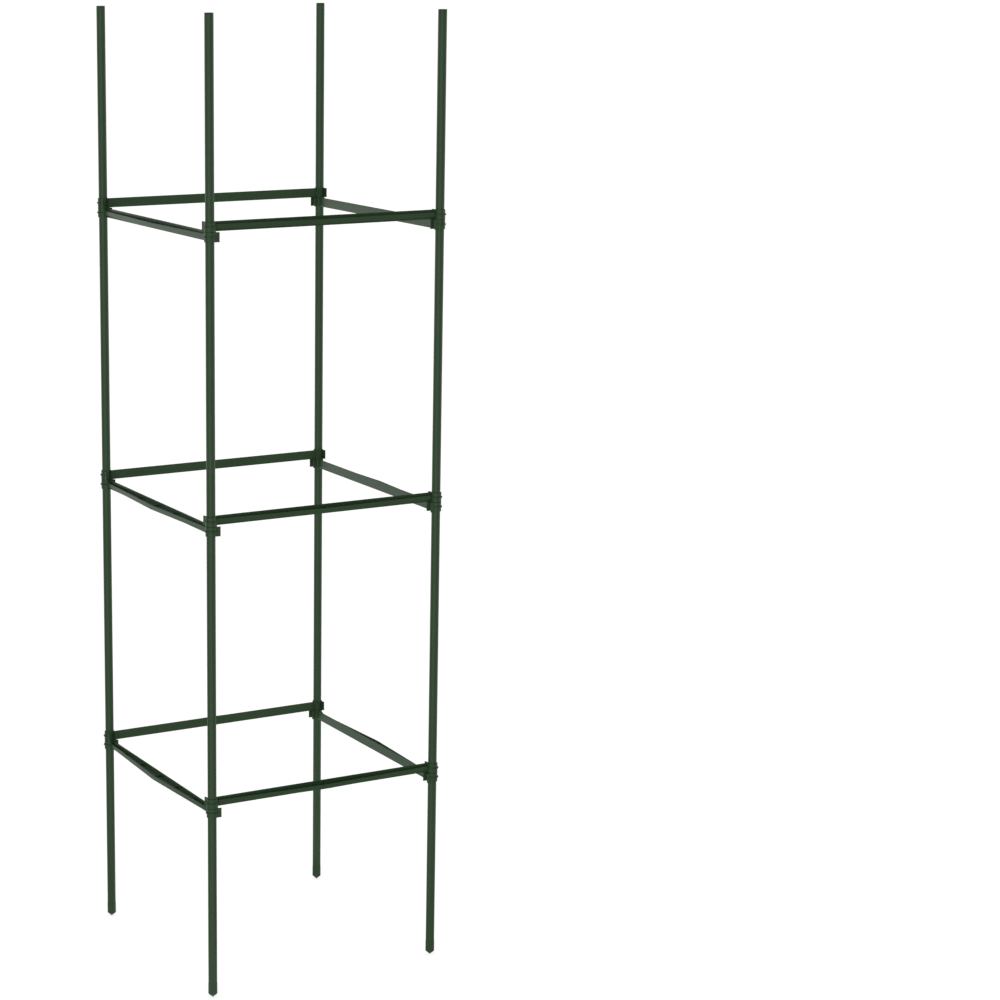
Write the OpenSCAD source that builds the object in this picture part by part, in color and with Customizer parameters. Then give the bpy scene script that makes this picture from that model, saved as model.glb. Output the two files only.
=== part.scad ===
// Square tomato cage. Four coated tube stakes stand at the corners of a square.
// Clip-on crossbars hold them apart in tiers: front and back bars sit on the left and right bars.
// X runs from left to right, Y from front to back and Z up from the stake points.

/* [Cage] */
// Height from the stake points to the stake tops
cage_h = 1220; // [1050:1:1500]
// Distance between the axes of neighbouring stakes
stake_pitch = 316; // [240:1:420]
// Height of the bottom tier, where its upper and lower bars meet
first_tier_z = 249.3; // [150:0.1:300]
// Height from one tier to the next
tier_pitch = 357.4; // [250:0.1:380]

/* [Stakes] */
// Outside diameter of the steel tube
tube_od = 10; // [8:0.1:14]
// Wall of the steel tube
tube_wall = 0.6; // [0.4:0.05:1.2]
// Thickness of the plastic coat on the tube
coat_t = 0.5; // [0.2:0.05:0.8]
// Height of the cone at the pointed end
point_cone_h = 4.7; // [3:0.1:12]
// Diameter of the small flat at the very point
point_flat_d = 0.8; // [0.8:0.1:3]
// Length of the round collar above the cone
point_collar_h = 14; // [8:0.5:30]
// How far the collar stands out beyond the coat, so that soil does not lift the coat's edge
point_over = 0.2; // [0.2:0.05:1]
// Thickness of the top cap's disc
cap_t = 2.4; // [1.5:0.1:5]
// Chamfer round both edges of the top cap
cap_chamfer = 0.5; // [0.2:0.1:1]
// Length of the spigots inside the tube
spigot_h = 12; // [6:0.5:25]

/* [Crossbar beam] */
// Height of the clips and of the inner flange
bar_h = 12; // [9:0.1:18]
// Gap between the clips of an upper and a lower bar
stack_gap = 0.3; // [0.2:0.05:1]
// Distance of the inner flange's face from the line of stake axes
inner_face_in = 3.6; // [2.8:0.1:4.4]
// Thickness of the inner flange
inner_flange_t = 1.4; // [1:0.1:2]
// Height of the outer flange
outer_flange_h = 5.6; // [4:0.1:8]
// Thickness of the outer flange, across the bar
outer_flange_t = 1.4; // [1:0.1:2]
// Distance of the outer flange beyond the stake axes at the clips
outer_end_out = 0.9; // [0.4:0.1:3]
// Distance of the outer flange beyond the stake axes at mid-length
outer_mid_out = 8.2; // [4:0.1:14]
// Thickness of the flat web between the flanges
web_t = 1.6; // [1:0.1:2.4]
// Number of cross ribs on each side of the web
rib_count = 5; // [1:2:9]
// Thickness of a cross rib
rib_t = 1.2; // [0.8:0.1:2]

/* [Crossbar clip] */
// Wall of the clip's ring
clip_wall = 1.2; // [1:0.05:2]
// Running clearance between clip and stake, on the radius
clip_clear = 0.05; // [0.02:0.01:0.1]
// Width of the clip's mouth where it leaves the stake
mouth_w = 6.8; // [6:0.1:9]
// Reach of the lips from the stake axis into the cage
lip_reach = 10.6; // [8:0.1:16]
// Thickness of a lip, across the mouth
lip_t = 1.1; // [0.8:0.1:1.8]
// How far each lip spreads outwards to its end, to lead the stake in
lip_flare = 1.1; // [0.4:0.1:2]
// How far the bead stands out of the ring
bead_out = 1.3; // [0.8:0.1:2]
// Height of the bead at its root
bead_h = 2; // [1.4:0.1:3]
// Height of the bead at its crest
bead_crest_h = 1; // [0.6:0.1:1.2]

/* [Fits] */
// Clearance between coat and tube, on the radius
coat_clear = 0.01; // [0.01:0.01:0.05]
// Clearance between spigot and tube, on the radius
spigot_clear = 0.02; // [0.01:0.01:0.1]

/* [Hidden] */
$fn = 64;
// Overrun of a cut past the face that it opens
cut_over = 1;

// Corners as signs along X and Y
front_left = [-1, -1];
front_right = [1, -1];
back_right = [1, 1];
back_left = [-1, 1];
// Sides in the order of a turn about Z, and tiers from the ground up
SIDES = ["front", "right", "back", "left"];
TIERS = ["bottom", "middle", "top"];

half_pitch = stake_pitch / 2;
tube_r = tube_od / 2;
tube_bore_r = tube_r - tube_wall;
coat_bore_r = tube_r + coat_clear;
stake_r = coat_bore_r + coat_t;
collar_r = stake_r + point_over;
spigot_r = tube_bore_r - spigot_clear;
tube_z = point_cone_h + point_collar_h;
cap_z = cage_h - cap_t;
tube_h = cap_z - tube_z;

clip_bore_r = stake_r + clip_clear;
ring_r = clip_bore_r + clip_wall;
bead_r = ring_r + bead_out;
mouth_half = mouth_w / 2;
// Where the mouth's sides leave the bore, and how fast the lips spread from there
throat_y = sqrt(clip_bore_r ^ 2 - mouth_half ^ 2);
lip_slope = lip_flare / (lip_reach - throat_y);
bar_mid_z = bar_h / 2;
rib_pitch = stake_pitch / (rib_count + 1);

coat_green = "#31442f";
bar_green = "#2f442f";
steel = "#9a9da0";

module at_corner(corner) {
  translate([corner[0] * half_pitch, corner[1] * half_pitch, 0]) children();
}

// Both stake axes of one bar, in the bar's own frame
module at_bar_ends() {
  for (end = [-1, 1]) translate([end * half_pitch, 0, 0]) children();
}

// Steel tube that carries the load of a stake
module stake_tube(corner) {
  color(steel) at_corner(corner) translate([0, 0, tube_z]) difference() {
    cylinder(r = tube_r, h = tube_h);
    translate([0, 0, -cut_over]) cylinder(r = tube_bore_r, h = tube_h + 2 * cut_over);
  }
}

// Smooth plastic coat round the tube
module stake_coat(corner) {
  color(coat_green) at_corner(corner) translate([0, 0, tube_z]) difference() {
    cylinder(r = stake_r, h = tube_h);
    translate([0, 0, -cut_over]) cylinder(r = coat_bore_r, h = tube_h + 2 * cut_over);
  }
}

// Pointed end: a cone and a collar below the tube, and a spigot inside it
module stake_point(corner) {
  color(coat_green) at_corner(corner) {
    cylinder(r1 = point_flat_d / 2, r2 = collar_r, h = point_cone_h);
    translate([0, 0, point_cone_h]) cylinder(r = collar_r, h = point_collar_h);
    translate([0, 0, tube_z]) cylinder(r = spigot_r, h = spigot_h);
  }
}

// Flat top cap: a disc with two chamfered edges on the tube, and a spigot inside it
module stake_cap(corner) {
  rim_r = stake_r - cap_chamfer;
  color(coat_green) at_corner(corner) translate([0, 0, cap_z]) {
    translate([0, 0, -spigot_h]) cylinder(r = spigot_r, h = spigot_h);
    rotate_extrude() polygon([
      [0, 0],
      [rim_r, 0],
      [stake_r, cap_chamfer],
      [stake_r, cap_t - cap_chamfer],
      [rim_r, cap_t],
      [0, cap_t]
    ]);
  }
}

// Plan of the beam at a distance inside its outer face: a straight inner side and a V outer side
module beam_plan(inset) {
  polygon([
    [-half_pitch, inner_face_in],
    [half_pitch, inner_face_in],
    [half_pitch, inset - outer_end_out],
    [0, inset - outer_mid_out],
    [-half_pitch, inset - outer_end_out]
  ]);
}

// Beam: tall inner flange, flat web, short V-shaped outer flange and cross ribs
module beam() {
  translate([-half_pitch, inner_face_in - inner_flange_t, 0]) cube([stake_pitch, inner_flange_t, bar_h]);
  translate([0, 0, bar_mid_z - web_t / 2]) linear_extrude(height = web_t) beam_plan(0);
  translate([0, 0, bar_mid_z - outer_flange_h / 2]) linear_extrude(height = outer_flange_h) {
    difference() {
      beam_plan(0);
      beam_plan(outer_flange_t);
    }
    intersection() {
      beam_plan(0);
      for (rib = [1 : rib_count]) {
        translate([rib * rib_pitch - half_pitch - rib_t / 2, -outer_mid_out])
          square([rib_t, outer_mid_out + inner_face_in]);
      }
    }
  }
}

// Plan that spreads with the lips: its half width at the throat, and how far it reaches
module spreading_plan(throat_half, end_y) {
  root_half = throat_half - lip_slope * throat_y;
  end_half = throat_half + lip_slope * (end_y - throat_y);
  polygon([[-root_half, 0], [root_half, 0], [end_half, end_y], [-end_half, end_y]]);
}

// Ring of the clip with its bead and both lips, still without bore and mouth
module clip_body() {
  cylinder(r = ring_r, h = bar_h);
  linear_extrude(height = bar_h) spreading_plan(mouth_half + lip_t, lip_reach);
  translate([0, 0, bar_mid_z]) rotate_extrude() polygon([
    [0, -bead_h / 2],
    [ring_r, -bead_h / 2],
    [bead_r, -bead_crest_h / 2],
    [bead_r, bead_crest_h / 2],
    [ring_r, bead_h / 2],
    [0, bead_h / 2]
  ]);
}

// Space of the stake and of the mouth that lets it in
module clip_space() {
  translate([0, 0, -cut_over]) {
    cylinder(r = clip_bore_r, h = bar_h + 2 * cut_over);
    linear_extrude(height = bar_h + 2 * cut_over) spreading_plan(mouth_half, lip_reach + cut_over);
  }
}

// One moulded crossbar in its own frame: along X, with the inside of the cage towards +Y
module bar_solid() {
  difference() {
    union() {
      beam();
      at_bar_ends() clip_body();
    }
    at_bar_ends() clip_space();
  }
}

// A crossbar on its side of the cage: front and back bars lie on top of right and left bars
module crossbar(side, tier) {
  turn = search([side], SIDES)[0] * 360 / len(SIDES);
  tier_z = first_tier_z + search([tier], TIERS)[0] * tier_pitch;
  is_upper = side == "front" || side == "back";
  level_z = is_upper ? stack_gap / 2 : -stack_gap / 2 - bar_h;
  color(bar_green) rotate([0, 0, turn]) translate([0, -half_pitch, tier_z + level_z]) bar_solid();
}

stake_tube(front_left);  // stake_tube_front_left
stake_coat(front_left);  // stake_coat_front_left
stake_point(front_left);  // stake_point_front_left
stake_cap(front_left);  // stake_cap_front_left
stake_tube(front_right);  // stake_tube_front_right
stake_coat(front_right);  // stake_coat_front_right
stake_point(front_right);  // stake_point_front_right
stake_cap(front_right);  // stake_cap_front_right
stake_tube(back_right);  // stake_tube_back_right
stake_coat(back_right);  // stake_coat_back_right
stake_point(back_right);  // stake_point_back_right
stake_cap(back_right);  // stake_cap_back_right
stake_tube(back_left);  // stake_tube_back_left
stake_coat(back_left);  // stake_coat_back_left
stake_point(back_left);  // stake_point_back_left
stake_cap(back_left);  // stake_cap_back_left
crossbar("front", "bottom");  // crossbar_front_bottom
crossbar("right", "bottom");  // crossbar_right_bottom
crossbar("back", "bottom");  // crossbar_back_bottom
crossbar("left", "bottom");  // crossbar_left_bottom
crossbar("front", "middle");  // crossbar_front_middle
crossbar("right", "middle");  // crossbar_right_middle
crossbar("back", "middle");  // crossbar_back_middle
crossbar("left", "middle");  // crossbar_left_middle
crossbar("front", "top");  // crossbar_front_top
crossbar("right", "top");  // crossbar_right_top
crossbar("back", "top");  // crossbar_back_top
crossbar("left", "top");  // crossbar_left_top
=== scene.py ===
# %% [markdown]
# A square tomato cage
#
# The real cage is four round stakes, each a thin steel tube with a green plastic
# coat, a pointed end and a flat top. Moulded crossbars clip on to the stakes in
# three tiers and hold them apart. This lesson loads the exact CAD solids and dresses
# them: the bars and stakes get rounded edges and real finishes, and the camera and
# the light follow a plain studio picture.

# %% Load the frame
import math

import bmesh
import bpy
from mathutils import Matrix, Quaternion, Vector


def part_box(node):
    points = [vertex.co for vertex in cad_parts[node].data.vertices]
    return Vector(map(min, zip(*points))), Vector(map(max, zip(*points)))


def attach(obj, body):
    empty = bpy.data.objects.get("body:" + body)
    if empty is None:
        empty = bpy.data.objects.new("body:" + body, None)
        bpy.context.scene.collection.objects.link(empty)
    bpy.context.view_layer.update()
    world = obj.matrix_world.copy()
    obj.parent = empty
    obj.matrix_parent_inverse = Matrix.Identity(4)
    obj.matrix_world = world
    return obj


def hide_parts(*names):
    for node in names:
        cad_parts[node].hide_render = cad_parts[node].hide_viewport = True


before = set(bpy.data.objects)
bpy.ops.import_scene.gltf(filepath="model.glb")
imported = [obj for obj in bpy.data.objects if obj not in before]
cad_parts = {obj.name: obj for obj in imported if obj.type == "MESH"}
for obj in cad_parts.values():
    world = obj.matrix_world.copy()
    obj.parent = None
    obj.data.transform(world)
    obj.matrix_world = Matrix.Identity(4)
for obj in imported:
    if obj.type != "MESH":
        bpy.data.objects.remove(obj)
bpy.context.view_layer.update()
MM = 0.001


# %% [markdown]
# Two helpers carry most of the work. Colours are written as sRGB hex, as a paint
# chart would give them, and one function turns them to the linear values that Blender
# calculates with. The other adds a node, sets it up and links it, so that each
# material and each Geometry Nodes tree reads as a list of steps.

# %% Helpers for colours and nodes
def linear(hex_colour):
    """An sRGB hex colour as a linear RGBA tuple."""
    parts = [int(hex_colour[i:i + 2], 16) / 255 for i in (1, 3, 5)]
    return tuple(c / 12.92 if c <= 0.04045 else ((c + 0.055) / 1.055) ** 2.4
                 for c in parts) + (1.0,)


def add_node(tree, kind, inputs=None, **settings):
    """Adds a node, sets its properties, and fills its inputs with values or links."""
    node = tree.nodes.new(kind)
    for name, value in settings.items():
        setattr(node, name, value)
    for name, value in (inputs or {}).items():
        for item in value if isinstance(value, list) else [value]:
            if isinstance(item, bpy.types.NodeSocket):
                tree.links.new(item, node.inputs[name])
            else:
                node.inputs[name].default_value = item
    return node


print("mid grey in linear light: %.4f" % linear("#808080")[0])


# %% [markdown]
# The picture is taken from the front left with a long lens, a little above the middle
# of the cage. The lens is shifted sideways, so that the cage stands in the left half
# of the frame with its uprights still parallel. The angles, the distance, the shift and
# a trace of roll come from fitting a camera to the stakes and tiers.

# %% Camera
SENSOR_MM, LENS_MM = 36, 95.176
SHIFT_X, SHIFT_Y = 0.232075, -0.01416
AZIMUTH, ELEVATION = math.radians(-27.005), math.radians(11.856)
ROLL = math.radians(0.025)
DISTANCE, TARGET = 3.410743, Vector((0, 0, 0.612396))

lens = bpy.data.cameras.new("long_lens")
lens.sensor_width, lens.lens = SENSOR_MM, LENS_MM
lens.shift_x, lens.shift_y = SHIFT_X, SHIFT_Y
camera = bpy.data.objects.new("camera", lens)
bpy.context.scene.collection.objects.link(camera)
towards_camera = Vector((math.sin(AZIMUTH) * math.cos(ELEVATION),
                         -math.cos(AZIMUTH) * math.cos(ELEVATION),
                         math.sin(ELEVATION)))
camera.location = TARGET + towards_camera * DISTANCE
aimed = towards_camera.to_track_quat("Z", "Y")
camera.rotation_euler = (aimed @ Quaternion((0, 0, 1), ROLL)).to_euler()
bpy.context.scene.camera = camera
bpy.context.scene.view_settings.view_transform = "Standard"
print("camera at", [round(c, 3) for c in camera.location])


# %% [markdown]
# Satin plastic mirrors its surroundings as a blur: a bright sweep of paper behind the
# cage, a pale panel to its right, a softbox near the camera and a dim room elsewhere.
# That is what makes the faces that turn away look paler, and puts a soft streak down
# each stake and a light rim on its edges. Real panels could stand there, but they would
# also light the cage and show from other sides. So one function gives the brightness
# that gloss sees in a direction; the world uses it, and the floor glows with it as a
# painted reflection.

# %% The room that gloss sees
ROOM_LEVEL = 0.18
BOX_TOWARDS = Vector((-0.656, -0.755, 0))
BRIGHT_PARTS = {  # the direction of each part's middle, and its brightness
    "sweep": (Vector((-0.2, 0.98, 0)), 1.0),
    "panel": (Vector((1, 0, 0)), 0.7),
    "softbox": (BOX_TOWARDS, 0.66),
}
EDGE_STARTS, EDGE_ENDS = 0.72, 0.94  # cosines of the angle from a part's middle


def mirrored_room(tree, direction):
    """The brightness that a glossy surface sees in a direction, as an output socket."""
    level = ROOM_LEVEL
    for towards, brightest in BRIGHT_PARTS.values():
        facing = add_node(tree, "ShaderNodeVectorMath", {0: direction, 1: towards},
                          operation="DOT_PRODUCT").outputs["Value"]
        bright = add_node(tree, "ShaderNodeMapRange",
                          {"Value": facing, "From Min": EDGE_STARTS, "From Max": EDGE_ENDS,
                           "To Min": ROOM_LEVEL, "To Max": brightest},
                          interpolation_type="SMOOTHSTEP").outputs["Result"]
        level = add_node(tree, "ShaderNodeMath", {0: level, 1: bright},
                         operation="MAXIMUM").outputs[0]
    return level


print("gloss sees a room with:", ", ".join(BRIGHT_PARTS))

# %% [markdown]
# The studio is white paper. The camera sees the world as paper white, through Light
# Path, so the background needs no extra light. The room itself lights the cage evenly
# from the sides and less from above.

# %% World
SIDE_LEVEL, TOP_LEVEL, PAPER_WHITE = 0.78, 0.3, 1.0
world = bpy.data.worlds.new("white_studio")
bpy.context.scene.world = world
world.use_nodes = True
sky = world.node_tree
sky.nodes.clear()
ray = add_node(sky, "ShaderNodeLightPath").outputs
direction = add_node(sky, "ShaderNodeTexCoord").outputs["Generated"]
height = add_node(sky, "ShaderNodeSeparateXYZ", {0: direction}).outputs["Z"]
fill = add_node(sky, "ShaderNodeMapRange", {"Value": height, "To Min": SIDE_LEVEL,
                                            "To Max": TOP_LEVEL}).outputs["Result"]
lit = add_node(sky, "ShaderNodeMix",
               {"Factor": ray["Is Glossy Ray"], "A": fill,
                "B": mirrored_room(sky, direction)}).outputs["Result"]
seen = add_node(sky, "ShaderNodeMix", {"Factor": ray["Is Camera Ray"], "A": lit,
                                       "B": PAPER_WHITE}).outputs["Result"]
background = add_node(sky, "ShaderNodeBackground", {"Color": linear("#ffffff"),
                                                    "Strength": seen})
add_node(sky, "ShaderNodeOutputWorld", {"Surface": background.outputs[0]})
print("world:", len(sky.nodes), "nodes")

# %% [markdown]
# Two lamps shape the cage: a softbox near the camera, and a light table under the cage
# that shines up on it. The softbox is far off and wide, so a sun lamp with a wide angle
# stands for it and lights all heights alike. Gloss doesn't see the lamps, because the
# mirrored room already draws what it should see.

# %% Lamps
BOX_STRENGTH, BOX_WIDTH, BOX_RISE = 0.57, math.radians(36), 0.3
TABLE_LEVEL, TABLE_SIDE, TABLE_Z = 0.58, 8.0, 1 * MM
softbox = bpy.data.lights.new("softbox", "SUN")
softbox.energy, softbox.angle = BOX_STRENGTH, BOX_WIDTH
table = bpy.data.lights.new("light_table", "AREA")
table.size = TABLE_SIDE
table.energy = TABLE_LEVEL * math.pi * TABLE_SIDE ** 2
for lamp, place, shines_from in (
        (softbox, Vector((0, 0, 0)), BOX_TOWARDS + Vector((0, 0, BOX_RISE))),
        (table, Vector((0, 0, TABLE_Z)), Vector((0, 0, -1)))):
    stand = bpy.data.objects.new(lamp.name, lamp)
    stand.location = place
    stand.rotation_euler = shines_from.to_track_quat("Z", "Y").to_euler()
    stand.visible_camera = stand.visible_glossy = False
    bpy.context.scene.collection.objects.link(stand)
print("lamps:", [lamp.name for lamp in bpy.data.lights])

# %% [markdown]
# The floor is the lower part of the sweep. It is a real matt surface, so it keeps the
# shadow and throws light back up under the bars; a lift for the camera alone brings it
# to paper white. For glossy rays it glows instead with a painted reflection of the room's
# bright and dim parts, and this glow is darker close to the cage as painted shade. A
# curved sheet could be modelled, but a flat one that runs to the horizon meets the white
# world without a seam.

# %% Floor
FLOOR_HALF = 60
FLOOR_PAPER, FLOOR_LIFT = "#e0e0de", 0.68
NEAR_SHADED_SHARE, FAR_AT = 0.55, 4.0
sheet = bpy.data.meshes.new("paper_floor")
sheet.from_pydata([(x * FLOOR_HALF, y * FLOOR_HALF, 0)
                   for x, y in ((-1, -1), (1, -1), (1, 1), (-1, 1))], [], [(0, 1, 2, 3)])
floor = bpy.data.objects.new("paper_floor", sheet)
bpy.context.scene.collection.objects.link(floor)
paper = bpy.data.materials.new("matt white paper with painted reflection")
paper.use_nodes = True
tree = paper.node_tree
tree.nodes.clear()
ray = add_node(tree, "ShaderNodeLightPath").outputs
lift = add_node(tree, "ShaderNodeMath", {0: ray["Is Camera Ray"], 1: FLOOR_LIFT},
                operation="MULTIPLY").outputs[0]
matt = add_node(tree, "ShaderNodeBsdfDiffuse", {"Color": linear(FLOOR_PAPER)})
glow = add_node(tree, "ShaderNodeEmission", {"Strength": lift})
white = add_node(tree, "ShaderNodeAddShader", {0: matt.outputs[0], 1: glow.outputs[0]})
# Painted reflection: glossy rays see the floor glow with the room's brightness, and painted shade
# dims that glow close to the cage.
spot = add_node(tree, "ShaderNodeTexCoord").outputs["Object"]
outwards = add_node(tree, "ShaderNodeVectorMath", {0: spot}, operation="NORMALIZE").outputs[0]
away = add_node(tree, "ShaderNodeVectorMath", {0: spot}, operation="LENGTH").outputs["Value"]
share = add_node(tree, "ShaderNodeMapRange",
                 {"Value": away, "From Max": FAR_AT, "To Min": NEAR_SHADED_SHARE}).outputs["Result"]
shaded_painted_reflection = add_node(tree, "ShaderNodeMath", {0: mirrored_room(tree, outwards), 1: share},
                  operation="MULTIPLY").outputs[0]
mirrored = add_node(tree, "ShaderNodeEmission", {"Strength": shaded_painted_reflection})
shown = add_node(tree, "ShaderNodeMixShader", {0: ray["Is Glossy Ray"], 1: white.outputs[0],
                                               2: mirrored.outputs[0]})
add_node(tree, "ShaderNodeOutputMaterial", {"Surface": shown.outputs[0]})
sheet.materials.append(paper)
print("floor", 2 * FLOOR_HALF, "m across")


# %% [markdown]
# Every finish starts from a Principled shader and Object coordinates, which stay with a
# piece when it moves. The two plastics are built alike. A fine pattern, left by the way
# the surface was made, gives gloss and relief, and slow marks in the melt give the tint.
# Painted images could do this, but noise has no seams and its scale is the inverse of a
# real size.

# %% A start for each finish
FLOW_MARK = 35 * MM
RELIEF_STRENGTH, RELIEF_DEPTH = 0.5, 0.1 * MM


def new_material(name):
    """An empty node material with its tree, Principled shader and Object coordinates."""
    material = bpy.data.materials.new(name)
    material.use_nodes = True
    nodes = material.node_tree
    nodes.nodes.clear()
    shader = add_node(nodes, "ShaderNodeBsdfPrincipled")
    add_node(nodes, "ShaderNodeOutputMaterial", {"Surface": shader.outputs[0]})
    place = add_node(nodes, "ShaderNodeTexCoord").outputs["Object"]
    return material, nodes, shader, place


def satin_plastic(name, fine_size, stretch, detail, tints, roughness, ior):
    """A plastic with a fine pattern in gloss and relief, and a slow one in its tint."""
    plastic, nodes, shader, place = new_material(name)
    drawn = add_node(nodes, "ShaderNodeMapping", {"Vector": place, "Scale": stretch})
    fine = add_node(nodes, "ShaderNodeTexNoise",
                    {"Vector": drawn.outputs[0], "Scale": 1 / fine_size,
                     "Detail": detail}).outputs["Fac"]
    slow = add_node(nodes, "ShaderNodeTexNoise",
                    {"Vector": place, "Scale": 1 / FLOW_MARK, "Detail": detail}).outputs["Fac"]
    tint = add_node(nodes, "ShaderNodeMix", {"Factor": slow, "A": linear(tints[0]),
                                             "B": linear(tints[1])}, data_type="RGBA")
    gloss = add_node(nodes, "ShaderNodeMapRange", {"Value": fine, "To Min": roughness[0],
                                                   "To Max": roughness[1]})
    relief = add_node(nodes, "ShaderNodeBump", {"Height": fine, "Strength": RELIEF_STRENGTH,
                                                "Distance": RELIEF_DEPTH})
    for socket, source in (("Base Color", tint.outputs["Result"]),
                           ("Roughness", gloss.outputs["Result"]),
                           ("Normal", relief.outputs["Normal"])):
        nodes.links.new(source, shader.inputs[socket])
    shader.inputs["IOR"].default_value = ior
    return plastic


print("slow marks every %.0f mm" % (FLOW_MARK / MM))

# %% [markdown]
# The stake's coat is polyethylene, extruded round the tube. To the eye it is satin, with
# faint lines that the die draws along the stake and slow waves in its thickness. The
# bars, points and caps are moulded polypropylene. Their mould was spark eroded to a fine
# grain, so they are a little duller. The die lines and the grain are finer than a pixel
# of the picture and are drawn about twice as coarse, so that they still show from close
# by.

# %% Coat and moulding
DIE_LINE, DIE_LINE_LENGTH = 0.9 * MM, 140 * MM
MOULD_GRAIN = 0.8 * MM
ALONG_STAKE, EVEN = (1, 1, DIE_LINE / DIE_LINE_LENGTH), (1, 1, 1)

coat_plastic = satin_plastic(
    "polyethylene, extruded coat", fine_size=DIE_LINE, stretch=ALONG_STAKE, detail=2.0,
    tints=("#2b4429", "#304a2e"), roughness=(0.30, 0.40), ior=1.51)
moulded_plastic = satin_plastic(
    "polypropylene, moulded with a fine grain", fine_size=MOULD_GRAIN, stretch=EVEN,
    detail=3.0, tints=("#2b4429", "#2f492d"), roughness=(0.30, 0.42), ior=1.49)
print("plastics:", coat_plastic.name, "and", moulded_plastic.name)

# %% [markdown]
# The tube is drawn steel, hidden inside the coat. Drawing leaves fine lines along it, as
# the die does on the coat, and here they only change the gloss. A metal keeps the
# default IOR, because its colour and its metallic value already say how it mirrors.

# %% Steel
STEEL_SMOOTH, STEEL_DULL, STEEL_DETAIL = 0.25, 0.45, 3.0
tube_steel, tree, shader, place = new_material("steel, cold drawn tube")
along = add_node(tree, "ShaderNodeMapping", {"Vector": place, "Scale": ALONG_STAKE}).outputs[0]
lines = add_node(tree, "ShaderNodeTexNoise", {"Vector": along, "Scale": 1 / DIE_LINE,
                                              "Detail": STEEL_DETAIL}).outputs["Fac"]
gloss = add_node(tree, "ShaderNodeMapRange", {"Value": lines, "To Min": STEEL_SMOOTH,
                                              "To Max": STEEL_DULL})
tree.links.new(gloss.outputs["Result"], shader.inputs["Roughness"])
shader.inputs["Base Color"].default_value = linear("#c9cbcc")
shader.inputs["Metallic"].default_value = 1.0
print("metal:", tube_steel.name)


# %% [markdown]
# A crossbar is one injection moulding. Its beam is an I lying on its side: a tall thin
# inner flange, a flat web, and a short outer flange that bows out to a shallow point in
# the middle of the bar. Thin ribs cross the web. At each end an open ring grips the
# stake, with a bead round it and two lips that lean apart to lead the stake in. All of
# it follows paths and rules, so one Geometry Nodes tree makes it: rounded sections are
# swept along lines and arcs, ribs are instanced on points, and one boolean joins the
# shells. The tree's inputs are the bar's real sizes in metres, and what the CAD nodes
# can tell is measured on them.

# %% Sizes of a crossbar
front_low, front_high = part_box("crossbar_front_bottom")
coat_low, coat_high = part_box("stake_coat_front_left")
stake_r = (coat_high.x - coat_low.x) / 2
half_pitch = -(coat_high.x + coat_low.x) / 2
clip_slack, clip_wall, bead_sunk = 0.05 * MM, 1.2 * MM, 0.5 * MM
ring_inside = stake_r + clip_slack
ring_r = ring_inside + clip_wall
bead_r = front_high.x - half_pitch
bead_root = ring_r - bead_sunk
inner_t = outer_t = 1.4 * MM
inner_face, outer_face_at_clips = 3.6 * MM, -0.9 * MM
inner_stops, outer_stops, web_stops = 5.5 * MM, 6.2 * MM, 5.8 * MM  # before a stake's axis
mouth_half, lip_t, lip_flare = 3.4 * MM, 1.1 * MM, 1.1 * MM
lip_reach = half_pitch + front_high.y
throat = math.sqrt(ring_inside ** 2 - mouth_half ** 2)
lip_lean = math.atan2(lip_flare, lip_reach - throat)
RIB_COUNT = 5
RING_ENDS, BEAD_ENDS = 39.0, 36.0  # degrees from the middle of the mouth

BAR_SIZES = {
    "Half pitch": half_pitch,
    "Height": front_high.z - front_low.z,
    "Edge rounding": 0.35 * MM,
    "Inner flange line": inner_face - inner_t / 2,
    "Inner flange thickness": inner_t,
    "Inner flange end": half_pitch - inner_stops,
    "Outer line at middle": half_pitch + front_low.y + outer_t / 2,
    "Outer line at clips": outer_face_at_clips + outer_t / 2,
    "Outer flange thickness": outer_t,
    "Outer flange height": 5.6 * MM,
    "Outer flange end": half_pitch - outer_stops,
    "Web thickness": 1.6 * MM,
    "Web end": half_pitch - web_stops,
    "Rib count": RIB_COUNT,
    "Rib thickness": 1.2 * MM,
    "Last rib at": half_pitch * (RIB_COUNT - 1) / (RIB_COUNT + 1),
    "Ring line": (ring_inside + ring_r) / 2,
    "Ring wall": ring_r - ring_inside,
    "Ring start": math.radians(90 + RING_ENDS),
    "Ring sweep": math.radians(360 - 2 * RING_ENDS),
    "Bead line": (bead_root + bead_r) / 2,
    "Bead width": bead_r - bead_root,
    "Bead height": 1.7 * MM,
    "Bead rounding": 0.6 * MM,
    "Bead start": math.radians(90 + BEAD_ENDS),
    "Bead sweep": math.radians(360 - 2 * BEAD_ENDS),
    "Lip thickness": lip_t * math.cos(lip_lean),
    "Lip length": (lip_reach - throat) / math.cos(lip_lean),
    "Lip rounding": 0.5 * MM,
    "Lip lean": lip_lean,
    "Lip middle across": mouth_half + (lip_t + lip_flare) / 2,
    "Lip middle inwards": (throat + lip_reach) / 2,
}
print("\n".join("%-24s %8.5f" % item for item in BAR_SIZES.items()))

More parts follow.
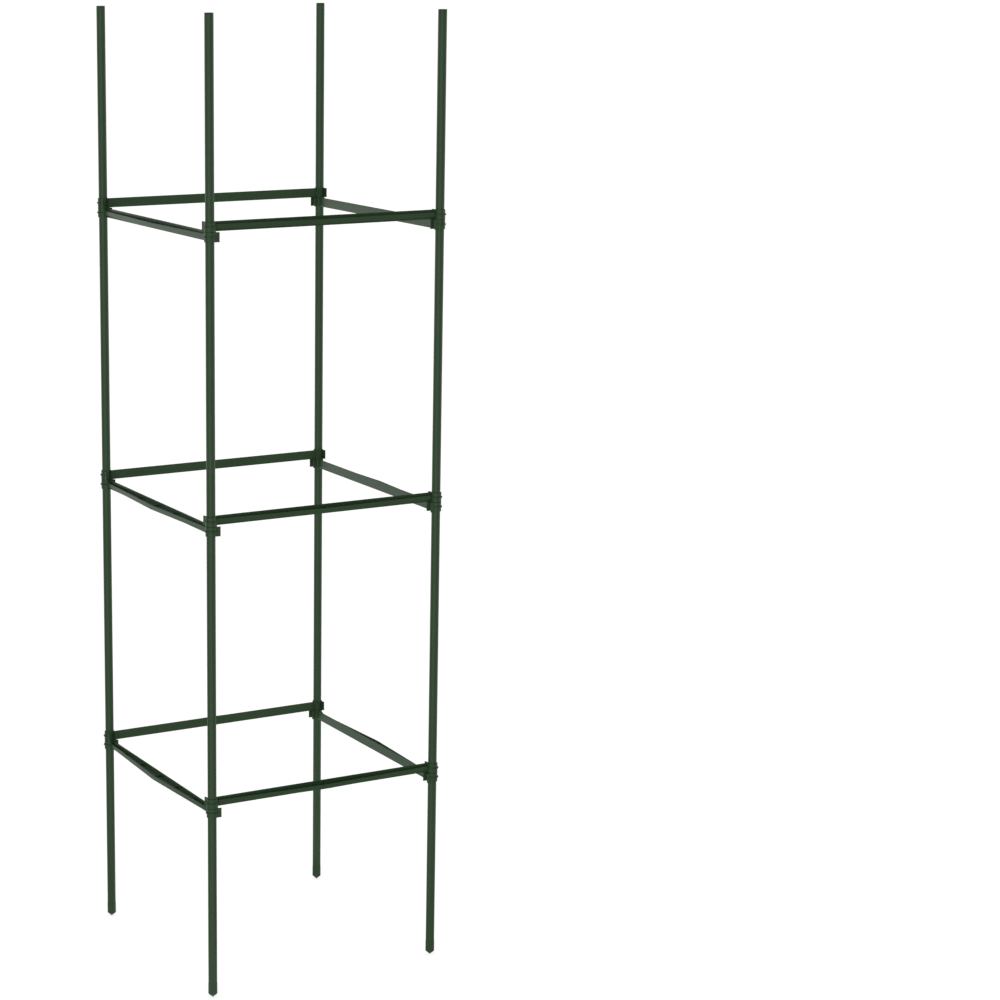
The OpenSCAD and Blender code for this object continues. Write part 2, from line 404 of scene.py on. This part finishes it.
# %% The tree and its named inputs
bar_tree = bpy.data.node_groups.new("Moulded crossbar", "GeometryNodeTree")
bar_tree.interface.new_socket("Crossbar", in_out="OUTPUT", socket_type="NodeSocketGeometry")
for name, value in BAR_SIZES.items():
    kind = "NodeSocketInt" if isinstance(value, int) else "NodeSocketFloat"
    bar_tree.interface.new_socket(name, in_out="INPUT", socket_type=kind)
bar_tree.interface.new_socket("Plastic", in_out="INPUT", socket_type="NodeSocketMaterial")
size = add_node(bar_tree, "NodeGroupInput").outputs
mid_z = add_node(bar_tree, "ShaderNodeMath", {0: size["Height"], 1: 0.5},
                 operation="MULTIPLY").outputs[0]
position = add_node(bar_tree, "GeometryNodeInputPosition").outputs[0]
spot = add_node(bar_tree, "ShaderNodeSeparateXYZ", {0: position}).outputs
away = add_node(bar_tree, "ShaderNodeMath", {0: spot["X"]}, operation="ABSOLUTE").outputs[0]
unit_line = add_node(bar_tree, "GeometryNodeCurvePrimitiveLine",
                     {"Start": (-1, 0, 0), "End": (1, 0, 0)}).outputs[0]
print("inputs:", len(BAR_SIZES) + 1)


# %% [markdown]
# The flanges stiffen the bar in both directions. They are rounded rectangles swept along
# the bar, because a sweep rounds all the edges of a moulding at once. Both paths come
# from one unit line of three points: its ends go to the clips and its middle to
# mid-length, so the outer path makes the shallow V and the inner one stays straight.

# %% Flanges
PATH_POINTS, FILLET_STEPS = 3, 3


def path_along_bar(end, at_middle, at_clips):
    """A three-point path along X, with one Y at mid-length and another at the clips."""
    points = add_node(bar_tree, "GeometryNodeResampleCurve",
                      {"Curve": unit_line, "Count": PATH_POINTS})
    x = add_node(bar_tree, "ShaderNodeMath", {0: spot["X"], 1: end}, operation="MULTIPLY")
    y = add_node(bar_tree, "ShaderNodeMix", {"Factor": away, "A": at_middle, "B": at_clips})
    place = add_node(bar_tree, "ShaderNodeCombineXYZ",
                     {"X": x.outputs[0], "Y": y.outputs["Result"], "Z": mid_z})
    return add_node(bar_tree, "GeometryNodeSetPosition",
                    {"Geometry": points.outputs[0], "Position": place.outputs[0]}).outputs[0]


def swept(path, width, height, rounding):
    """A rounded rectangle swept along a path as a closed shell."""
    section = add_node(bar_tree, "GeometryNodeCurvePrimitiveQuadrilateral",
                       {"Width": width, "Height": height})
    rounded = add_node(bar_tree, "GeometryNodeFilletCurve",
                       {"Curve": section.outputs[0], "Count": FILLET_STEPS, "Radius": rounding,
                        "Limit Radius": True}, mode="POLY")
    return add_node(bar_tree, "GeometryNodeCurveToMesh",
                    {"Curve": path, "Profile Curve": rounded.outputs[0],
                     "Fill Caps": True}).outputs[0]


inner_path = path_along_bar(size["Inner flange end"], size["Inner flange line"],
                            size["Inner flange line"])
inner_flange = swept(inner_path, size["Inner flange thickness"], size["Height"],
                     size["Edge rounding"])
outer_path = path_along_bar(size["Outer flange end"], size["Outer line at middle"],
                            size["Outer line at clips"])
outer_flange = swept(outer_path, size["Outer flange thickness"], size["Outer flange height"],
                     size["Edge rounding"])
print("flanges take", len(bar_tree.nodes), "nodes so far")

# %% [markdown]
# The web is a plate that fills the space between the flanges. It starts as a block two
# units long with a cut at its middle, and each corner is moved to the flange it belongs
# to. Its edges lie inside the flanges, so it needs no rounding.

# %% Web
block = add_node(bar_tree, "GeometryNodeMeshCube", {"Size": (2, 1, 1), "Vertices X": 3})
inwards = add_node(bar_tree, "ShaderNodeMath", {0: spot["Y"], 1: 0.5}, operation="ADD")
web_outer = add_node(bar_tree, "ShaderNodeMix", {"Factor": away,
                                                 "A": size["Outer line at middle"],
                                                 "B": size["Outer line at clips"]})
web_x = add_node(bar_tree, "ShaderNodeMath", {0: spot["X"], 1: size["Web end"]},
                 operation="MULTIPLY")
web_y = add_node(bar_tree, "ShaderNodeMix", {"Factor": inwards.outputs[0],
                                             "A": web_outer.outputs["Result"],
                                             "B": size["Inner flange line"]})
web_z = add_node(bar_tree, "ShaderNodeMath", {0: spot["Z"], 1: size["Web thickness"], 2: mid_z},
                 operation="MULTIPLY_ADD")
place = add_node(bar_tree, "ShaderNodeCombineXYZ", {"X": web_x.outputs[0],
                                                    "Y": web_y.outputs["Result"],
                                                    "Z": web_z.outputs[0]})
web = add_node(bar_tree, "GeometryNodeSetPosition",
               {"Geometry": block.outputs["Mesh"], "Position": place.outputs[0]}).outputs[0]
print("with the web:", len(bar_tree.nodes), "nodes")

# %% [markdown]
# The ribs keep the thin web and flanges square to each other. They are alike except for
# their width, so one block is instanced on evenly spaced points and stretched to the
# width of the web at each point. It is a trace lower than the outer flange, so that no
# two faces of the union lie in one plane.

# %% Ribs
RIB_SHARE = 0.98
rib_points = add_node(bar_tree, "GeometryNodeResampleCurve",
                      {"Curve": unit_line, "Count": size["Rib count"]})
rib_x = add_node(bar_tree, "ShaderNodeMath", {0: spot["X"], 1: size["Last rib at"]},
                 operation="MULTIPLY")
rib_places = add_node(bar_tree, "ShaderNodeCombineXYZ", {"X": rib_x.outputs[0], "Z": mid_z})
rib_line = add_node(bar_tree, "GeometryNodeSetPosition",
                    {"Geometry": rib_points.outputs[0], "Position": rib_places.outputs[0]})
share = add_node(bar_tree, "ShaderNodeMath", {0: away, 1: size["Half pitch"]}, operation="DIVIDE")
rib_outer = add_node(bar_tree, "ShaderNodeMix", {"Factor": share.outputs[0],
                                                 "A": size["Outer line at middle"],
                                                 "B": size["Outer line at clips"]})
rib_width = add_node(bar_tree, "ShaderNodeMath", {0: size["Inner flange line"],
                                                  1: rib_outer.outputs["Result"]},
                     operation="SUBTRACT")
rib_scale = add_node(bar_tree, "ShaderNodeCombineXYZ", {"X": size["Rib thickness"],
                                                        "Y": rib_width.outputs[0],
                                                        "Z": size["Outer flange height"]})
rib_middle = add_node(bar_tree, "ShaderNodeMix", {"Factor": 0.5, "A": size["Inner flange line"],
                                                  "B": rib_outer.outputs["Result"]})
rib_shift = add_node(bar_tree, "ShaderNodeCombineXYZ", {"Y": rib_middle.outputs["Result"]})
rib_block = add_node(bar_tree, "GeometryNodeMeshCube", {"Size": (1, 1, RIB_SHARE)})
rib_stand = add_node(bar_tree, "GeometryNodeSetPosition", {"Geometry": rib_line.outputs[0],
                                                           "Offset": rib_shift.outputs[0]})
ribs = add_node(bar_tree, "GeometryNodeInstanceOnPoints",
                {"Points": rib_stand.outputs[0], "Instance": rib_block.outputs["Mesh"],
                 "Scale": rib_scale.outputs[0]})
rib_shells = add_node(bar_tree, "GeometryNodeRealizeInstances", {0: ribs.outputs[0]}).outputs[0]
print("with the ribs:", len(bar_tree.nodes), "nodes")

# %% [markdown]
# The clip is an open ring that closes on the stake past its middle, so it snaps over and
# holds by its own spring. A bead round its middle stiffens it. Ring and bead could be
# turned outlines, but the sweep that made the flanges also follows an arc, and leaves
# the mouth open by itself.

# %% Ring and bead of a clip
ARC_POINTS = 64
ring_arc = add_node(bar_tree, "GeometryNodeCurveArc",
                    {"Resolution": ARC_POINTS, "Radius": size["Ring line"],
                     "Start Angle": size["Ring start"], "Sweep Angle": size["Ring sweep"]})
ring = swept(ring_arc.outputs["Curve"], size["Ring wall"], size["Height"], size["Edge rounding"])
bead_arc = add_node(bar_tree, "GeometryNodeCurveArc",
                    {"Resolution": ARC_POINTS, "Radius": size["Bead line"],
                     "Start Angle": size["Bead start"], "Sweep Angle": size["Bead sweep"]})
bead = swept(bead_arc.outputs["Curve"], size["Bead width"], size["Bead height"],
             size["Bead rounding"])
print("with ring and bead:", len(bar_tree.nodes), "nodes")

# %% [markdown]
# The lips spread the ring as the stake goes in. What shows of a lip is its outline from
# above, so its rounded outline is swept upwards, and two copies of it lean apart.

# %% Lips of a clip
upright = add_node(bar_tree, "GeometryNodeCurvePrimitiveLine",
                   {"Start": (0, 0, -0.5), "End": (0, 0, 0.5)})
stretch = add_node(bar_tree, "ShaderNodeCombineXYZ", {"X": 1, "Y": 1, "Z": size["Height"]})
lip_path = add_node(bar_tree, "GeometryNodeTransform", {"Geometry": upright.outputs[0],
                                                       "Scale": stretch.outputs[0]})
lip = swept(lip_path.outputs[0], size["Lip thickness"], size["Lip length"], size["Lip rounding"])
lips = []
for side in (-1, 1):
    across = add_node(bar_tree, "ShaderNodeMath", {0: size["Lip middle across"], 1: side},
                      operation="MULTIPLY")
    lean = add_node(bar_tree, "ShaderNodeMath", {0: size["Lip lean"], 1: -side},
                    operation="MULTIPLY")
    middle = add_node(bar_tree, "ShaderNodeCombineXYZ", {"X": across.outputs[0],
                                                         "Y": size["Lip middle inwards"]})
    turn = add_node(bar_tree, "ShaderNodeCombineXYZ", {"Z": lean.outputs[0]})
    leaning = add_node(bar_tree, "GeometryNodeTransform",
                       {"Geometry": lip, "Translation": middle.outputs[0],
                        "Rotation": turn.outputs[0]})
    lips.append(leaning.outputs[0])
print(len(lips), "lips lean by %.1f degrees" % math.degrees(lip_lean))

# %% [markdown]
# Both clips of a bar are the same, so one is joined from its shells and instanced on the
# two stake axes, which are the ends of the unit line.

# %% Two clips on a bar
clip = add_node(bar_tree, "GeometryNodeMeshBoolean", {"Mesh 2": [ring, bead, *lips]},
                operation="UNION", solver="MANIFOLD")
axis_x = add_node(bar_tree, "ShaderNodeMath", {0: spot["X"], 1: size["Half pitch"]},
                  operation="MULTIPLY")
axis_place = add_node(bar_tree, "ShaderNodeCombineXYZ", {"X": axis_x.outputs[0], "Z": mid_z})
axes = add_node(bar_tree, "GeometryNodeSetPosition", {"Geometry": unit_line,
                                                      "Position": axis_place.outputs[0]})
clips = add_node(bar_tree, "GeometryNodeInstanceOnPoints", {"Points": axes.outputs[0],
                                                            "Instance": clip.outputs["Mesh"]})
clip_shells = add_node(bar_tree, "GeometryNodeRealizeInstances", {0: clips.outputs[0]}).outputs[0]
print("with clips:", len(bar_tree.nodes), "nodes")

# %% [markdown]
# One boolean joins the overlapping shells into a single closed skin, as the mould makes
# it. Shells that only overlap would look alike from outside, but they would leave hidden
# faces in the mesh.

# %% Join the bar
joined = add_node(bar_tree, "GeometryNodeMeshBoolean",
                  {"Mesh 2": [inner_flange, outer_flange, web, rib_shells, clip_shells]},
                  operation="UNION", solver="MANIFOLD")
smooth = add_node(bar_tree, "GeometryNodeSetShadeSmooth", {"Geometry": joined.outputs["Mesh"]})
real = add_node(bar_tree, "GeometryNodeRealizeInstances", {0: smooth.outputs[0]})
painted = add_node(bar_tree, "GeometryNodeSetMaterial", {"Geometry": real.outputs[0],
                                                         "Material": size["Plastic"]})
add_node(bar_tree, "NodeGroupOutput", {"Crossbar": painted.outputs[0]})
print("whole tree:", len(bar_tree.nodes), "nodes")

# %% [markdown]
# The tree's result is turned into a plain mesh, which the twelve bars will copy. Edges
# sharper than a limit stay sharp, so that the flat faces keep their own shading.

# %% Make the bar's mesh
SHARP = math.radians(40)
bar_maker = bpy.data.objects.new("crossbar_maker", bpy.data.meshes.new("crossbar_maker"))
bpy.context.scene.collection.objects.link(bar_maker)
modifier = bar_maker.modifiers.new("Moulded crossbar", "NODES")
modifier.node_group = bar_tree
socket_of = {item.name: item.identifier for item in bar_tree.interface.items_tree
             if item.in_out == "INPUT"}
for name, value in BAR_SIZES.items():
    modifier[socket_of[name]] = value
modifier[socket_of["Plastic"]] = moulded_plastic
evaluated = bar_maker.evaluated_get(bpy.context.evaluated_depsgraph_get())
bar_mesh = bpy.data.meshes.new_from_object(evaluated)
bar_maker.modifiers.clear()
bpy.data.objects.remove(bar_maker)
bar_mesh.set_sharp_from_angle(angle=SHARP)

skin = bmesh.new()
skin.from_mesh(bar_mesh)
print("bar: %d faces, %d open edges, volume %.0f mm3" %
      (len(skin.faces), sum(not e.is_manifold for e in skin.edges),
       skin.calc_volume(signed=True) / MM ** 3))
skin.free()


# %% [markdown]
# The twelve bars are the same moulding. Front and back bars lie on top of the left and
# right ones, turned by a quarter so that the lips always point into the cage. Each copy
# has its place in its own mesh, stands for its CAD node and rides on its body, which
# slides up and down the two stakes that it grips. Weighted normals keep its flat faces
# flat beside the rounded edges.

# %% Twelve crossbars
SIDES = ("front", "right", "back", "left")
TIERS = ("bottom", "middle", "top")
for tier in TIERS:
    for quarter, side in enumerate(SIDES):
        node = "crossbar_%s_%s" % (side, tier)
        low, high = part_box(node)
        mesh = bar_mesh.copy()
        mesh.name = "moulded_bar_%s_%s" % (side, tier)
        mesh.transform(Matrix.Translation((0, 0, low.z)) @
                       Matrix.Rotation(quarter * math.pi / 2, 4, "Z") @
                       Matrix.Translation((0, -half_pitch, 0)))
        bar = bpy.data.objects.new(mesh.name, mesh)
        bpy.context.scene.collection.objects.link(bar)
        bar.modifiers.new("even normals", "WEIGHTED_NORMAL").keep_sharp = True
        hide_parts(node)
        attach(bar, "bar_%s_%s" % (side, tier))
bpy.data.meshes.remove(bar_mesh)
print(len(SIDES) * len(TIERS), "bars in", len(TIERS), "tiers")


# %% [markdown]
# A stake's pieces are all round, as a lathe would make them, so each is an outline
# turned about the stake's axis. Primitives such as cylinders and cones could be joined
# instead, but an outline holds every rounded rim in one closed skin. Spinning can turn a
# shape inside out, so its doubles are merged and its normals recalculated.

# %% Helpers for turned pieces
TURN_STEPS, MERGE_WITHIN = 96, 0.001 * MM


def turned(name, outline, axis, plastic, node):
    """Turns a closed outline of (radius, height) pairs about an upright axis."""
    shell = bmesh.new()
    verts = [shell.verts.new((axis.x + r, axis.y, z)) for r, z in outline]
    edges = [shell.edges.new((a, b)) for a, b in zip(verts, verts[1:] + verts[:1])
             if a.co.x > axis.x or b.co.x > axis.x]
    bmesh.ops.spin(shell, geom=verts + edges, cent=(axis.x, axis.y, 0), axis=(0, 0, 1),
                   angle=math.tau, steps=TURN_STEPS, use_merge=True)
    bmesh.ops.remove_doubles(shell, verts=shell.verts, dist=MERGE_WITHIN)
    bmesh.ops.recalc_face_normals(shell, faces=shell.faces)
    mesh = bpy.data.meshes.new(name)
    shell.to_mesh(mesh)
    open_edges = sum(not e.is_manifold for e in shell.edges)
    shell.free()
    mesh.polygons.foreach_set("use_smooth", [True] * len(mesh.polygons))
    mesh.set_sharp_from_angle(angle=SHARP)
    mesh.materials.append(plastic)
    piece = bpy.data.objects.new(name, mesh)
    bpy.context.scene.collection.objects.link(piece)
    piece.modifiers.new("even normals", "WEIGHTED_NORMAL").keep_sharp = True
    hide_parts(node)
    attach(piece, "stakes")
    return open_edges


def rounded_corner(r, z, radius, from_deg, to_deg, steps=5):
    """Points on a rounded corner about (r, z), from one angle to another."""
    angles = [math.radians(from_deg + (to_deg - from_deg) * i / steps) for i in range(steps + 1)]
    return [(r + radius * math.cos(a), z + radius * math.sin(a)) for a in angles]


print("a turned piece has", TURN_STEPS, "sides")


# %% [markdown]
# The coat is a sleeve on the tube, cut off flat below and with a fine rounded edge above.
# The point is a blunt cone with a rounded shoulder and a short collar, and the cap a disc
# whose rounded rims leave a fine groove where it sits on the coat. Point and cap each
# have a spigot that plugs the tube. The outlines take their radii and heights from the
# CAD nodes, and run from the inside out and back.

# %% Outlines of coat, point and cap
COAT_EDGE, COAT_SLACK = 0.25 * MM, 0.01 * MM
FLAT_R, CONE_H = 0.4 * MM, 4.7 * MM
SHOULDER, COLLAR_EDGE = 0.4 * MM, 0.15 * MM
CAP_RIM = 0.5 * MM
SPIGOT_INSET = 0.62 * MM  # the tube's wall and a little slack
FINE_STEPS = 3


def coat_outline(low, high, tube_r):
    """A sleeve from the tube's surface to the stake's radius."""
    inside = tube_r + COAT_SLACK
    return ([(inside, low.z), (stake_r, low.z)]
            + rounded_corner(stake_r - COAT_EDGE, high.z - COAT_EDGE, COAT_EDGE,
                             0, 90, FINE_STEPS)
            + [(inside, high.z)])


def point_outline(low, high, coat_starts, spigot_r):
    """A blunt cone, its collar up to the coat, and the spigot inside the tube."""
    collar_r = (high.x - low.x) / 2
    bend = 90 - math.degrees(math.atan2(CONE_H, collar_r - FLAT_R))
    bend_z = low.z + CONE_H + SHOULDER * math.tan(math.radians(bend / 2))
    return ([(0, low.z), (FLAT_R, low.z)]
            + rounded_corner(collar_r - SHOULDER, bend_z, SHOULDER, -bend, 0)
            + rounded_corner(collar_r - COLLAR_EDGE, coat_starts - COLLAR_EDGE, COLLAR_EDGE,
                             0, 90, FINE_STEPS)
            + [(spigot_r, coat_starts), (spigot_r, high.z), (0, high.z)])


def cap_outline(low, high, coat_ends, spigot_r):
    """A spigot inside the tube, and a disc with rounded rims on the coat's end."""
    return ([(0, low.z), (spigot_r, low.z), (spigot_r, coat_ends)]
            + rounded_corner(stake_r - CAP_RIM, coat_ends + CAP_RIM, CAP_RIM, -90, 0)
            + rounded_corner(stake_r - CAP_RIM, high.z - CAP_RIM, CAP_RIM, 0, 90)
            + [(0, high.z)])


print("stake radius %.2f mm, cone %.1f mm high" % (stake_r / MM, CONE_H / MM))

# %% [markdown]
# The four stakes are alike, and all their pieces ride on one body, because in use the
# soil holds them together. The steel tube inside keeps its CAD solid and only gets its
# finish.

# %% Four stakes
CORNERS = ("front_left", "front_right", "back_right", "back_left")
for corner_name in CORNERS:
    tube_node, coat_node, point_node, cap_node = (
        "stake_%s_%s" % (piece, corner_name) for piece in ("tube", "coat", "point", "cap"))
    tube_low, tube_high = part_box(tube_node)
    tube_r = (tube_high.x - tube_low.x) / 2
    spigot_r = tube_r - SPIGOT_INSET
    low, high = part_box(coat_node)
    axis = (low + high) / 2
    open_edges = turned("coat_" + corner_name, coat_outline(low, high, tube_r),
                        axis, coat_plastic, coat_node)
    point = point_outline(*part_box(point_node), low.z, spigot_r)
    open_edges += turned("point_" + corner_name, point,
                         axis, moulded_plastic, point_node)
    cap = cap_outline(*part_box(cap_node), high.z, spigot_r)
    open_edges += turned("cap_" + corner_name, cap,
                         axis, moulded_plastic, cap_node)
    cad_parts[tube_node].data.materials.clear()
    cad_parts[tube_node].data.materials.append(tube_steel)
    print(corner_name, "stake: %d open edges" % open_edges)
